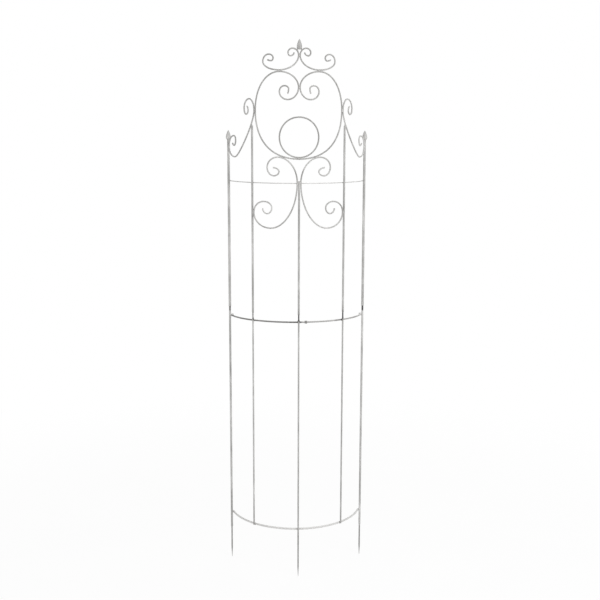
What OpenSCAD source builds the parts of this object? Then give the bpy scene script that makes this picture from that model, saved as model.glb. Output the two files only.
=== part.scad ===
// Half-round garden obelisk of painted steel rod, in two sections that plug together

/* [Plan] */
// Radius of the half-round plan, from its axis to the axes of the inner uprights
arc_r = 248; // [240:1:262]
// Angle from the centre upright to the inner ones, seen from above
inner_angle = 39.2; // [38:0.1:40]
// Angle from the centre upright to the outer ones
outer_angle = 74; // [72:0.5:76]

/* [Heights] */
// Bottom hoop above the tips of the spikes
spike_h = 178; // [140:1:220]
// Middle hoop above the bottom hoop
lower_h = 752; // [600:1:900]
// Top hoop above the middle hoop
upper_h = 475; // [420:5:560]
// Mouths of the upper tubes above the middle hoop, where the necks show
neck_h = 26; // [15:1:40]
// Top of the centre tube above the top hoop
centre_rise = 8; // [6:0.5:12]
// Top of the outer tubes above the place where the side scrolls touch them
outer_rise = 21; // [16:1:40]

/* [Uprights] */
// Diameter of the outer upper tubes
outer_tube_d = 9; // [8:0.25:11]
// Diameter of the inner and centre upper tubes
inner_tube_d = 7; // [6:0.25:8]
// Wall of the upper tubes
tube_wall = 0.9; // [0.9:0.1:1.5]
// How much slimmer a lower upright is than the tube above it
lower_slim = 1.5; // [1:0.1:1.8]
// Gap all round between a neck and the tube that it plugs into
socket_clear = 0.2; // [0.1:0.05:0.3]
// How far a neck reaches into its tube
socket_depth = 40; // [25:1:60]
// Bore of the crimp that a neck stops against
crimp_d = 2.2; // [1.5:0.1:2.6]
// Height of the crimp
crimp_h = 3; // [2:0.5:6]
// Straight rod above the middle hoop's axis, below a neck's shoulder
shoulder_h = 4; // [3:0.5:8]
// Solid steel at the closed end of a tube or a lower upright
end_wall = 6; // [3:1:12]

/* [Spikes] */
// Diameter of the outer spikes
spike_d = 5.4; // [4.6:0.1:6]
// How much slimmer the centre spike is than the upright that it is drawn out of
spike_slim = 0.5; // [0.4:0.1:1]
// Length of a spike's point
point_h = 38; // [25:1:60]
// Diameter of the blunt tip
tip_d = 1.2; // [0.8:0.1:2]
// How far an outer spike reaches into its lower upright
shank_h = 50; // [30:1:80]
// Diameter of an outer spike's shank
shank_d = 3.8; // [3:0.1:4.2]
// Gap all round between a shank and its bore
shank_clear = 0.05; // [0.05:0.05:0.2]
// Outer uprights below the axis of the bottom hoop, down to their spikes
outer_lap = 58; // [40:1:70]
// Inner uprights below the axis of the bottom hoop
inner_lap = 2; // [1:0.5:5]

/* [Hoops] */
// Diameter of the top hoop
top_hoop_d = 3; // [2.5:0.25:5]
// Diameter of the middle hoop
middle_hoop_d = 5.5; // [4:0.25:7]
// Diameter of the bottom hoop
bottom_hoop_d = 7; // [5:0.25:8]
// Slope of the middle hoop, down from its front to its ends
middle_hoop_slope = 2.2; // [0:0.1:3]
// Hoop ends past the axes of the outer uprights
hoop_tail = 2; // [0:0.5:5]
// Middle of the ferrule, along the middle hoop from the centre upright
ferrule_u = 25; // [15:1:60]
// Length of the ferrule
ferrule_l = 8; // [6:0.5:16]
// Wall of the ferrule
ferrule_wall = 2.2; // [0.8:0.1:2.5]
// Gap all round between the ferrule and the hoop
ferrule_clear = 0.1; // [0.05:0.05:0.2]

/* [Scroll rods] */
// Diameter of the rod that the scrolls and the ring are bent from
rod_d = 5; // [4:0.25:6]
// Gap left between pieces that are welded where they touch
touch_gap = 0.1; // [0.05:0.05:0.2]
// Radius of the ring, to the middle of its rod
ring_r = 66.5; // [55:0.5:72]

/* [Heart scrolls] */
// From the line of an inner upright in to the widest place of the heart
heart_inset = 14; // [13:0.5:24]
// From the middle out to the top of each lobe of the heart
lobe_u = 67; // [60:1:74]
// Top of a lobe above the place where the lobes touch
lobe_h = 51; // [44:1:60]
// Top of a lobe above the widest place of the heart
shoulder_drop = 125; // [115:1:135]
// Widest place of the heart above its bottom
bowl_h = 161; // [152:1:172]

/* [Crown scrolls] */
// Place where the crown scrolls touch above their lowest place
crown_sweep_h = 47; // [42:1:52]
// From the lowest place of a crown scroll out to its widest
crown_wing_w = 58; // [52:1:64]
// Widest place of a crown scroll above its lowest
crown_wing_h = 28; // [26:1:32]

/* [Lyre scrolls] */
// Place where the lyre scrolls touch the centre tube above the top hoop
lyre_rise = 2; // [0:0.5:3]
// From that place out to the upper top of a lyre scroll
lyre_sweep_w = 66; // [58:1:74]
// Upper top of a lyre scroll above that place
lyre_sweep_h = 85; // [79:1:93]
// From that place out to the lowest place of a lyre scroll
lyre_belly_w = 93; // [86:1:100]
// Lowest place of a lyre scroll below that place
lyre_belly_h = 154; // [140:1:170]
// Place where a lyre scroll touches the inner upright above its lowest place
lyre_hip_h = 52; // [46:1:58]

/* [Side scrolls] */
// From the place where a side scroll touches the heart out to its lowest place
side_drop_w = 101; // [96:1:106]
// Lowest place of a side scroll below the place where it touches the heart
side_drop_h = 157; // [148:1:166]
// Place where a side scroll touches the outer upright above its lowest place
side_cup_h = 36; // [32:1:40]

/* [Finials] */
// Diameter of the buds on top
finial_d = 17; // [14:0.5:20]
// Height of the buds
finial_h = 34; // [26:1:42]
// Widest place of a bud above its base
finial_belly_h = 8; // [6:0.5:11]
// Diameter of the centre bud's flat base
cap_base_d = 16; // [12:0.5:18]
// How far the outer buds' stems reach into their tubes
stem_h = 12; // [8:1:20]
// Gap all round between a stem and its tube
stem_clear = 0.05; // [0.05:0.05:0.2]

/* [Hidden] */

$fn = 48;
paint = [0.83, 0.82, 0.79];
worn_paint = [0.72, 0.71, 0.68];

// Sides of a bent rod, and places round the ring
rod_sides = 8;
ring_places = 32;
// Fullness of a bend that is nearly round, and of the two that are not
round_bend = 0.552;
bowl_bend = 0.61;
diagonal_bend = 0.3;
// Steps over which a curve of the buds is drawn
bud_steps = 8;
// How fast a bud narrows to its tip
bud_taper = 1.8;

// Halvings when a piece is brought up to its neighbour
settle_steps = 22;

rod_r = rod_d / 2;
left = -1;
right = 1;

z_outer_foot = spike_h - outer_lap;
z_inner_foot = spike_h - inner_lap;
z_bottom = spike_h;
z_middle = z_bottom + lower_h;
z_mouth = z_middle + neck_h;
z_stop = z_mouth + socket_depth;
z_top = z_middle + upper_h;

// The outer uprights stand out so that every upright touches the same hoop
outer_shift = (outer_tube_d - inner_tube_d) / 2;
outer_r = arc_r + outer_shift;
// The plan's axis lies behind the part, so that the part is centred front to back
axis_y = (arc_r + outer_r * cos(outer_angle)) / 2;
plan_axis = [0, axis_y, 0];

u_inner = arc_r * inner_angle * PI / 180;
u_outer = arc_r * outer_angle * PI / 180;
inner_touch = inner_tube_d / 2 + rod_r + touch_gap;
outer_touch = sqrt(pow(outer_tube_d / 2 + rod_r + touch_gap, 2) - pow(outer_shift, 2));
// Half the distance between two scrolls that touch each other
kiss_u = rod_r + touch_gap / 2;
rod_touch = rod_d + touch_gap;

heart_side_u = u_inner - heart_inset;
side_kiss_u = heart_side_u + rod_touch;
side_cup_w = u_outer - outer_touch - side_kiss_u - side_drop_w;
lyre_hip_w = u_inner - inner_touch - inner_touch - lyre_belly_w;

// Each arm of a scroll is a row of quarter turns, from its touching place to its end.
// A quarter is [across, up], then its fullness and the share of it that is bent, where these differ.
heart_over = [
    [lobe_u - kiss_u, lobe_h], [heart_side_u - lobe_u, shoulder_drop],
    [heart_side_u, bowl_h, bowl_bend]
];
heart_curl = [[36, 40], [28, 26], [17, 19], [14, 10], [8, 20, round_bend, 0.6]];
crown_wing = [
    [lobe_u - kiss_u, crown_sweep_h], [crown_wing_w, crown_wing_h],
    [21, 23], [16, 12], [7, 9], [17, 10, round_bend, 0.6]
];
crown_curl = [[20, 22], [15, 14], [8, 10], [12, 11]];
lyre_over = [[lyre_sweep_w, lyre_sweep_h], [38, 34], [24, 28], [18, 14], [21, 13]];
lyre_belly = [
    [lyre_belly_w, lyre_belly_h], [lyre_hip_w, lyre_hip_h],
    [42, 38], [28, 21], [17, 20], [17, 18]
];
side_over = [[21, 38], [24, 32], [10, 19], [9, 13], [11, 16, round_bend, 0.7]];
side_drop = [
    [side_drop_w, side_drop_h, diagonal_bend], [side_cup_w, side_cup_h],
    [45, 36], [12, 15], [11, 18], [16, 20, round_bend, 0.6]
];

up = [0, 1];
down = [0, -1];
clockwise = -1;
anticlockwise = 1;

function unit(v) = v / norm(v);
function place(p) = [p[0], p[1]];
function turned(heading, turn) = [-turn * heading[1], turn * heading[0]];
function size_along(heading, quarter) = abs(heading[0]) * quarter[0] + abs(heading[1]) * quarter[1];
function bend_steps(quarter) = max(4, ceil(0.8 * sqrt(max(quarter[0], quarter[1]))));

// Place and direction at t along a curve with two handles
function bend_at(p0, p1, p2, p3, t) = let (
    s = 1 - t,
    at = s * s * s * p0 + 3 * s * s * t * p1 + 3 * s * t * t * p2 + t * t * t * p3,
    way = unit(s * s * (p1 - p0) + 2 * s * t * (p2 - p1) + t * t * (p3 - p2))
) [at[0], at[1], way[0], way[1]];

// One quarter turn from a place, first along heading and then along its next heading
function quarter_turn(from, heading, next, quarter) = let (
    fullness = is_undef(quarter[2]) ? round_bend : quarter[2],
    share = is_undef(quarter[3]) ? 1 : quarter[3],
    first = heading * size_along(heading, quarter),
    second = next * size_along(next, quarter),
    steps = bend_steps(quarter),
    to = from + first + second
) [
    for (i = [1:steps])
        bend_at(from, from + fullness * first, to - fullness * second, to, share * i / steps)
];

// All the quarters of an arm, one after another
function arm(from, heading, turn, quarters, i = 0) = i == len(quarters) ? [] : let (
    next = turned(heading, turn),
    bend = quarter_turn(from, heading, next, quarters[i])
) concat(bend, arm(place(bend[len(bend) - 1]), next, turn, quarters, i + 1));

// A scroll's two arms as one route from end to end
function scroll(kiss, over, under) = let (
    over_arm = arm(kiss, up, clockwise, over),
    under_arm = arm(kiss, down, anticlockwise, under),
    over_n = len(over_arm)
) concat(
    [for (i = [over_n - 1:-1:0]) [over_arm[i][0], over_arm[i][1], -over_arm[i][2], -over_arm[i][3]]],
    [[kiss[0], kiss[1], down[0], down[1]]],
    under_arm
);

function raised(route, dz) = [for (p = route) [p[0], p[1] + dz, p[2], p[3]]];
function sided(route, side) = [for (p = route) [side * p[0], p[1], side * p[2], p[3]]];

// Distance from a place to a straight stretch, and the least between two routes
function stretch_gap(p, a, b) = let (
    ab = b - a,
    t = min(1, max(0, ((p - a) * ab) / (ab * ab)))
) norm(p - a - t * ab);
function one_way_gaps(route, other) = [
    for (p = route) for (i = [0:1:len(other) - 2])
        stretch_gap(place(p), place(other[i]), place(other[i + 1]))
];
function route_gap(a, b) = min(concat(one_way_gaps(a, b), one_way_gaps(b, a)));

// Height at which a shape comes within gap of a fixed route, between a clear height and a close one
function settle(shape, fixed, gap, clear, close, n = settle_steps) = n == 0 ? clear : let (
    middle = (clear + close) / 2
) route_gap(raised(shape, middle), fixed) > gap
    ? settle(shape, fixed, gap, middle, close, n - 1)
    : settle(shape, fixed, gap, clear, middle, n - 1);

// The lyre scrolls touch the centre tube and both inner tubes
lyre_kiss_z = z_top + lyre_rise;
lyre_route = scroll([inner_touch, lyre_kiss_z], lyre_over, lyre_belly);

// The heart settles onto the tops of the lyre scrolls
heart_route_from_bottom = scroll([kiss_u, bowl_h + shoulder_drop - lobe_h], heart_over, heart_curl);
lyre_top_z = lyre_kiss_z + lyre_sweep_h;
heart_z = settle(
    [for (p = heart_route_from_bottom) if (p[1] < bowl_h) p],
    [for (p = lyre_route) if (p[1] > lyre_kiss_z) p],
    rod_touch, lyre_top_z + 4 * rod_d, lyre_top_z - 4 * rod_d
);
heart_route = raised(heart_route_from_bottom, heart_z);
heart_side_z = heart_z + bowl_h;

// The ring stands on the heart's bottom
ring_z = heart_z + rod_touch + ring_r;
ring_route = [
    for (i = [0:ring_places - 1])
        let (angle = 360 * i / ring_places)
            [ring_r * cos(angle), ring_z + ring_r * sin(angle), -sin(angle), cos(angle)]
];

// The crown scrolls stand on the heart's lobes
crown_kiss_z = heart_side_z + shoulder_drop + rod_touch + crown_sweep_h;
crown_route = scroll([kiss_u, crown_kiss_z], crown_curl, crown_wing);

// The side scrolls touch the heart and the outer tubes
side_route = scroll([side_kiss_u, heart_side_z], side_over, side_drop);
side_diagonal = quarter_turn([side_kiss_u, heart_side_z], down, [1, 0], side_drop[0]);
side_low_z = heart_side_z - side_drop_h;
outer_top_z = side_low_z + side_cup_h + outer_rise;

// The round ends of the inner tubes come up under the side scrolls
inner_end_z = settle(
    [[u_inner, 0]], side_diagonal, inner_touch, side_low_z,
    lookup(u_inner, [for (p = side_diagonal) place(p)])
);
centre_end_z = z_top + centre_rise - inner_tube_d / 2;

// The centre bud's base rests on the rods below it
cap_bends = quarter_turn([kiss_u, crown_kiss_z], up, [1, 0], crown_curl[0]);
crown_top_z = crown_kiss_z + crown_curl[0][1];
cap_z = settle(
    [[cap_base_d / 2, 0]], cap_bends, rod_r + touch_gap, crown_top_z + finial_h,
    lookup(cap_base_d / 2, [for (p = cap_bends) place(p)])
);

function tube_d(outer) = outer ? outer_tube_d : inner_tube_d;
function bore_d(outer) = tube_d(outer) - 2 * tube_wall;
function lower_d(outer) = tube_d(outer) - lower_slim;
function neck_d(outer) = bore_d(outer) - 2 * socket_clear;
function is_outer(place) = abs(place) == 2;

// Directions out of the plan and along it at an angle from the centre upright
function plan_out(angle) = [sin(angle), -cos(angle), 0];
function plan_along(angle) = [cos(angle), sin(angle), 0];

// A rod of round section bent along a route on the half-round plan
module bent_rod(route, d, closed = false) {
    n = len(route);
    spans = closed ? n : n - 1;
    sections = [for (p = route) let (
        angle = p[0] / arc_r * 180 / PI,
        outward = plan_out(angle),
        beside = [0, 0, p[2]] - p[3] * plan_along(angle),
        middle = plan_axis + arc_r * outward + [0, 0, p[1]]
    ) for (j = [0:rod_sides - 1]) let (a = 360 * j / rod_sides)
        middle + d / 2 * (cos(a) * outward + sin(a) * beside)];
    walls = [for (i = [0:spans - 1]) for (j = [0:rod_sides - 1]) let (
        here = i * rod_sides,
        there = (i + 1) % n * rod_sides,
        k = (j + 1) % rod_sides
    ) each [
        [here + j, there + j, there + k],
        [here + j, there + k, here + k]
    ]];
    far = (n - 1) * rod_sides;
    ends = closed ? [] : [for (j = [1:rod_sides - 2]) each [
        [0, j, j + 1],
        [far, far + j + 1, far + j]
    ]];
    polyhedron(sections, concat(walls, ends));
}

// Moves a piece onto the axis of an upright, counted from the centre one
module at_upright(place) {
    r = is_outer(place) ? outer_r : arc_r;
    angle = is_outer(place) ? sign(place) * outer_angle : place * inner_angle;
    translate(plan_axis + r * plan_out(angle)) children();
}

module between(z0, z1, d) {
    translate([0, 0, z0]) cylinder(h = z1 - z0, d = d);
}

// Rod of a lower upright from its foot up, with its slim neck on top
module necked_rod(outer, foot_z) {
    shoulder_z = z_middle + shoulder_h;
    taper_h = (lower_d(outer) - neck_d(outer)) / 2;
    between(foot_z, shoulder_z, lower_d(outer));
    translate([0, 0, shoulder_z]) cylinder(h = taper_h, d1 = lower_d(outer), d2 = neck_d(outer));
    between(shoulder_z, z_stop, neck_d(outer));
}

// Spike from its tip up to the feet of the outer uprights
module spike(d) {
    cylinder(h = point_h, d1 = tip_d, d2 = d);
    between(point_h, z_outer_foot, d);
}

module lower_outer_upright(place) {
    bore = shank_d + 2 * shank_clear;
    color(paint) at_upright(place) difference() {
        necked_rod(true, z_outer_foot);
        translate([0, 0, -end_wall]) between(z_outer_foot, z_middle, bore);
    }
}

module lower_inner_upright(place) {
    color(paint) at_upright(place) necked_rod(false, z_inner_foot);
}

module lower_centre_upright() {
    color(paint) at_upright(0) {
        spike(lower_d(false) - spike_slim);
        necked_rod(false, z_outer_foot);
    }
}

module ground_spike(place) {
    color(worn_paint) at_upright(place) {
        spike(spike_d);
        between(z_outer_foot, z_outer_foot + shank_h, shank_d);
    }
}

// Rod hoop against the inner faces of uprights of diameter d, between two angles
module hoop(z, hoop_d, d, from, to) {
    r = arc_r - d / 2 - touch_gap - hoop_d / 2;
    translate(plan_axis + [0, 0, z]) rotate([0, 0, from - 90])
        rotate_extrude(angle = to - from) translate([r, 0]) circle(d = hoop_d);
}

middle_hoop_r = arc_r - lower_d(false) / 2 - touch_gap - middle_hoop_d / 2;
ferrule_angle = ferrule_u / middle_hoop_r * 180 / PI;
ferrule_half_angle = ferrule_l / 2 / middle_hoop_r * 180 / PI;
hoop_end = outer_angle + hoop_tail / arc_r * 180 / PI;

module bottom_hoop() {
    color(paint) hoop(z_bottom, bottom_hoop_d, lower_d(false), -hoop_end, hoop_end);
}

// Slopes a piece of the middle hoop about the hoop's front
module sloped() {
    front = [0, axis_y - arc_r, z_middle];
    translate(front) rotate([-middle_hoop_slope, 0, 0]) translate(-front) children();
}

module middle_hoop(from, to) {
    color(worn_paint) sloped() hoop(z_middle, middle_hoop_d, lower_d(false), from, to);
}

module top_hoop() {
    color(paint) hoop(z_top, top_hoop_d, inner_tube_d, -hoop_end, hoop_end);
}

module hoop_ferrule() {
    bore = middle_hoop_d + 2 * ferrule_clear;
    color(worn_paint) sloped() translate(plan_axis + [0, 0, z_middle])
        rotate([0, 0, ferrule_angle - ferrule_half_angle - 90])
            rotate_extrude(angle = 2 * ferrule_half_angle) translate([middle_hoop_r, 0])
                difference() {
                    circle(d = bore + 2 * ferrule_wall);
                    circle(d = bore);
                }
}

// Bores of an upper tube: the socket, the crimp that a neck stops against, and the rest
module tube_bores(outer, top_z) {
    overlap = 1;
    between(z_mouth - overlap, z_stop, bore_d(outer));
    between(z_stop - overlap, z_stop + crimp_h + overlap, crimp_d);
    between(z_stop + crimp_h, top_z, bore_d(outer));
}

module upper_outer_upright(place) {
    color(paint) at_upright(place) difference() {
        between(z_mouth, outer_top_z, outer_tube_d);
        tube_bores(true, outer_top_z + end_wall);
    }
}

module upper_inner_upright(place, end_z) {
    color(paint) at_upright(place) difference() {
        union() {
            between(z_mouth, end_z, inner_tube_d);
            translate([0, 0, end_z]) sphere(d = inner_tube_d);
        }
        tube_bores(false, end_z - end_wall);
    }
}

module ring() {
    color(paint) bent_rod(ring_route, rod_d, closed = true);
}

module heart_scroll(side) {
    color(paint) bent_rod(sided(heart_route, side), rod_d);
}

module crown_scroll(side) {
    color(paint) bent_rod(sided(crown_route, side), rod_d);
}

module lyre_scroll(side) {
    color(paint) bent_rod(sided(lyre_route, side), rod_d);
}

module side_scroll(side) {
    color(paint) bent_rod(sided(side_route, side), rod_d);
}

// Pointed bud on a flat base
module bud(base_d) {
    belly_r = finial_d / 2;
    base_r = base_d / 2;
    lower_side = [for (i = [0:bud_steps - 1]) let (s = i / bud_steps)
        [base_r + (belly_r - base_r) * sin(90 * s), finial_belly_h * s]];
    upper_side = [for (i = [0:bud_steps]) let (s = i / bud_steps)
        [belly_r * (1 - pow(s, bud_taper)), finial_belly_h + (finial_h - finial_belly_h) * s]];
    rotate_extrude() polygon(concat([[0, 0]], lower_side, upper_side));
}

module outer_finial(place) {
    color(paint) at_upright(place) {
        translate([0, 0, outer_top_z]) bud(outer_tube_d);
        between(outer_top_z - stem_h, outer_top_z, bore_d(true) - 2 * stem_clear);
    }
}

module centre_finial() {
    color(paint) at_upright(0) translate([0, 0, cap_z]) bud(cap_base_d);
}

lower_outer_upright(-2);  // lower_upright_left_outer
lower_inner_upright(-1);  // lower_upright_left_inner
lower_centre_upright();  // lower_upright_centre
lower_inner_upright(1);  // lower_upright_right_inner
lower_outer_upright(2);  // lower_upright_right_outer
ground_spike(-2);  // ground_spike_left
ground_spike(2);  // ground_spike_right
bottom_hoop();
middle_hoop(-hoop_end, ferrule_angle);  // middle_hoop_left
middle_hoop(ferrule_angle, hoop_end);  // middle_hoop_right
hoop_ferrule();
upper_outer_upright(-2);  // upper_upright_left_outer
upper_inner_upright(-1, inner_end_z);  // upper_upright_left_inner
upper_inner_upright(0, centre_end_z);  // upper_upright_centre
upper_inner_upright(1, inner_end_z);  // upper_upright_right_inner
upper_outer_upright(2);  // upper_upright_right_outer
top_hoop();
ring();
heart_scroll(left);  // heart_scroll_left
heart_scroll(right);  // heart_scroll_right
crown_scroll(left);  // crown_scroll_left
crown_scroll(right);  // crown_scroll_right
lyre_scroll(left);  // lyre_scroll_left
lyre_scroll(right);  // lyre_scroll_right
side_scroll(left);  // side_scroll_left
side_scroll(right);  // side_scroll_right
outer_finial(-2);  // finial_left
centre_finial();  // finial_centre
outer_finial(2);  // finial_right
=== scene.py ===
"""Looks of a half-round garden obelisk of painted steel rod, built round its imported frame."""

import math
from functools import cache

import bpy
import numpy as np
from mathutils import Matrix, Vector


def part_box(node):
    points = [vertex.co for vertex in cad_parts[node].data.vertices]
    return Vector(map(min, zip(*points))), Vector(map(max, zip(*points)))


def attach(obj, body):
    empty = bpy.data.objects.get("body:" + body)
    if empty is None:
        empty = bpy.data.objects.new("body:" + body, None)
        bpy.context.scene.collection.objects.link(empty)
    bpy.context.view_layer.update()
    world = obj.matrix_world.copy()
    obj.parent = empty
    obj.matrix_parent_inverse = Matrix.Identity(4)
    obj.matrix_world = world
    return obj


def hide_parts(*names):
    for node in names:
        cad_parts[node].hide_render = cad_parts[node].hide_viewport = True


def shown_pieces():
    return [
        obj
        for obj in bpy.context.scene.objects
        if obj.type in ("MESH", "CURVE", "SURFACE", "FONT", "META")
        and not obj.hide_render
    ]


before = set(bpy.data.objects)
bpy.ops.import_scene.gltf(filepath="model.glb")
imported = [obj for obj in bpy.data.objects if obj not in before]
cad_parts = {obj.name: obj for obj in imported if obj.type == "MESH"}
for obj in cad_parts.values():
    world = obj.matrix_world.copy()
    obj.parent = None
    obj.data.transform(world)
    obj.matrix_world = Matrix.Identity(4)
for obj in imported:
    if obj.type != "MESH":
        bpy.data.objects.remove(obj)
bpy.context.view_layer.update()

MM = 0.001
UP = Vector((0, 0, 1))
RIGHT = Vector((1, 0, 0))
BACK = Vector((0, 1, 0))
LOWER = "lower_section"
UPPER = "upper_section"
SIDES = {"left": -1, "right": 1}
OUTER_PLACES = ("left_outer", "right_outer")
INNER_PLACES = ("left_inner", "centre", "right_inner")
PLACES = OUTER_PLACES + INNER_PLACES

# Sizes that the boxes of the pieces don't show
ROD_R = 2.5 * MM
TOUCH_GAP = 0.1 * MM
TUBE_WALL = 0.9 * MM
SOCKET_CLEAR = 0.2 * MM
NECK_H = 26 * MM
SHOULDER_H = 4 * MM
CRIMP_BORE_R = 1.1 * MM
CRIMP_BORE_H = 3 * MM
CRIMP_DEPTH = 0.4 * MM
CRIMP_H = 7 * MM
END_WALL = 6 * MM
POINT_H = 38 * MM
TIP_R = 0.6 * MM
SHANK_R = 1.9 * MM
SHANK_GAP = 0.05 * MM
SPIKE_SLIM = 0.25 * MM
STEM_H = 12 * MM
STEM_GAP = 0.05 * MM
BELLY_H = 8 * MM
BUD_TAPER = 1.8
CAP_BASE_R = 8 * MM
HOOP_TAIL = 2 * MM
MIDDLE_ROD_R = 2.75 * MM
MIDDLE_SLOPE = math.radians(2.2)
FERRULE_L = 8 * MM
FERRULE_GAP = 0.1 * MM
FERRULE_GROOVE = 0.5 * MM
SEAM_H = 0.25 * MM
EDGE = 0.5 * MM

# Shares: of a ferrule's half length, of a rod's radius and of a bud's radius
FERRULE_SHOULDER = 0.75
FERRULE_GROOVE_AT = 0.4
FERRULE_GROOVE_HALF = 0.12
ROD_END_BULGE = 0.5
HOOP_END_BULGE = 0.4
SEAM_LIMIT = 0.25

# Counts and angles that set how smooth the meshes are
ROD_SIDES = 20
TURN_SIDES = 32
BUD_SIDES = 48
BEND_STEPS = 18
HOOP_STEPS = 120
RING_STEPS = 120
CAP_STEPS = 5
CAP_TURN = math.radians(84)
EDGE_STEPS = 3
CRIMP_STEPS = 12
BUD_STEPS = 16
STRETCH = 8 * MM
SHARP_ANGLE = math.radians(48)


@cache
def box(node):
    """A node's two far corners."""
    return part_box(node)


def middle(node):
    low, high = box(node)
    return (low + high) / 2


def lowest(node):
    return box(node)[0].z


def highest(node):
    return box(node)[1].z


def half_width(node):
    low, high = box(node)
    return (high.x - low.x) / 2


def half_height(node):
    return (highest(node) - lowest(node)) / 2


# The half-round plan, from the places of the uprights

upright_xy = {place: middle(f"upper_upright_{place}").xy for place in PLACES}
inner_back = upright_xy["right_inner"].y - upright_xy["centre"].y
ARC_R = (upright_xy["right_inner"].x ** 2 + inner_back**2) / (2 * inner_back)
AXIS = Vector((0, upright_xy["centre"].y + ARC_R, 0))
Z_OUTER_FOOT = lowest("lower_upright_left_outer")
Z_MOUTH = lowest("upper_upright_centre")
Z_MIDDLE = Z_MOUTH - NECK_H
Z_STOP = highest("lower_upright_centre")


def plan_angle(xy):
    """Angle of a place round the plan's axis, from the centre upright."""
    return math.atan2(xy.x, AXIS.y - xy.y)


def plan_radius(xy):
    return math.hypot(xy.x, AXIS.y - xy.y)


def plan_out(angle):
    return Vector((math.sin(angle), -math.cos(angle), 0))


def plan_along(angle):
    return Vector((math.cos(angle), math.sin(angle), 0))


def at_angle(angle, radius, z):
    return AXIS + radius * plan_out(angle) + z * UP


def on_plan(u, z, out=0.0):
    """Place at u along the half round and at height z, out from it by out."""
    return at_angle(u / ARC_R, ARC_R + out, z)


def tube_r(place):
    return half_width(f"upper_upright_{place}")


def bore_r(place):
    return tube_r(place) - TUBE_WALL


def neck_r(place):
    return bore_r(place) - SOCKET_CLEAR


U_INNER = plan_angle(upright_xy["right_inner"]) * ARC_R
U_OUTER = plan_angle(upright_xy["right_outer"]) * ARC_R
HOOP_END = plan_angle(upright_xy["right_outer"]) + HOOP_TAIL / ARC_R
FERRULE_ANGLE = plan_angle(middle("hoop_ferrule").xy)


# Hoops, of which the middle one slopes down from its front to its ends

FRONT = Vector((0, upright_xy["centre"].y, Z_MIDDLE))
SLOPE = Matrix.Rotation(-MIDDLE_SLOPE, 3, "X")
LEVEL = Matrix.Identity(3)


def hoop_slope(node):
    return SLOPE if node.startswith("middle_hoop") else LEVEL


def hoop_rod_r(node):
    return MIDDLE_ROD_R if node.startswith("middle_hoop") else half_height(node)


def hoop_radius(node):
    return AXIS.y - box(node)[0].y - hoop_rod_r(node)


def hoop_at(node, angle):
    """Place on a hoop's axis at an angle round the plan."""
    z = Z_MIDDLE if node.startswith("middle_hoop") else middle(node).z
    level = at_angle(angle, hoop_radius(node), z)
    return FRONT + hoop_slope(node) @ (level - FRONT)


# Routes of the scrolls, as rows of quarter turns

ROUND_BEND = 0.552
BOWL_BEND = 0.61
DIAGONAL_BEND = 0.3
CLOCKWISE = -1
ANTICLOCKWISE = 1

KISS_U = ROD_R + TOUCH_GAP / 2
ROD_TOUCH = 2 * ROD_R + TOUCH_GAP
INNER_TOUCH = tube_r("centre") + ROD_R + TOUCH_GAP
OUTER_SHIFT = tube_r("right_outer") - tube_r("centre")
OUTER_TOUCH = math.sqrt((tube_r("right_outer") + ROD_R + TOUCH_GAP) ** 2 - OUTER_SHIFT**2)
HEART_INSET = 14 * MM
HEART_SIDE_U = U_INNER - HEART_INSET
LOBE_U = 67 * MM
LOBE_H = 51 * MM
SHOULDER_DROP = 125 * MM
BOWL_H = 161 * MM
CROWN_SWEEP_H = 47 * MM
CROWN_WING_W = 58 * MM
CROWN_WING_H = 28 * MM
LYRE_SWEEP_W = 66 * MM
LYRE_SWEEP_H = 85 * MM
LYRE_BELLY_W = 93 * MM
LYRE_BELLY_H = 154 * MM
LYRE_HIP_H = 52 * MM
SIDE_DROP_W = 101 * MM
SIDE_DROP_H = 157 * MM
SIDE_CUP_H = 36 * MM

SIDE_KISS_U = HEART_SIDE_U + ROD_TOUCH
SIDE_CUP_W = U_OUTER - OUTER_TOUCH - SIDE_KISS_U - SIDE_DROP_W
LYRE_HIP_W = U_INNER - 2 * INNER_TOUCH - LYRE_BELLY_W


def bend(across, rise, fullness=ROUND_BEND, share=1):
    """A quarter turn: how far it goes each way, how full it is and what share of it is bent."""
    return across, rise, fullness, share


def curl(*quarters, last_share=1):
    """The quarter turns of a curl, from sizes in millimetres."""
    bends = [bend(across * MM, rise * MM) for across, rise in quarters]
    bends[-1] = bends[-1][:3] + (last_share,)
    return bends


HEART_OVER = [
    bend(LOBE_U - KISS_U, LOBE_H),
    bend(HEART_SIDE_U - LOBE_U, SHOULDER_DROP),
    bend(HEART_SIDE_U, BOWL_H, BOWL_BEND),
]
HEART_CURL = curl((36, 40), (28, 26), (17, 19), (14, 10), (8, 20), last_share=0.6)
CROWN_OUT = [bend(LOBE_U - KISS_U, CROWN_SWEEP_H), bend(CROWN_WING_W, CROWN_WING_H)]
CROWN_OUT += curl((21, 23), (16, 12), (7, 9), (17, 10), last_share=0.6)
CROWN_CURL = curl((20, 22), (15, 14), (8, 10), (12, 11))
LYRE_OVER = [bend(LYRE_SWEEP_W, LYRE_SWEEP_H)]
LYRE_OVER += curl((38, 34), (24, 28), (18, 14), (21, 13))
LYRE_UNDER = [bend(LYRE_BELLY_W, LYRE_BELLY_H), bend(LYRE_HIP_W, LYRE_HIP_H)]
LYRE_UNDER += curl((42, 38), (28, 21), (17, 20), (17, 18))
SIDE_OVER = curl((21, 38), (24, 32), (10, 19), (9, 13), (11, 16), last_share=0.7)
SIDE_UNDER = [bend(SIDE_DROP_W, SIDE_DROP_H, DIAGONAL_BEND), bend(SIDE_CUP_W, SIDE_CUP_H)]
SIDE_UNDER += curl((45, 36), (12, 15), (11, 18), (16, 20), last_share=0.6)


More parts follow.
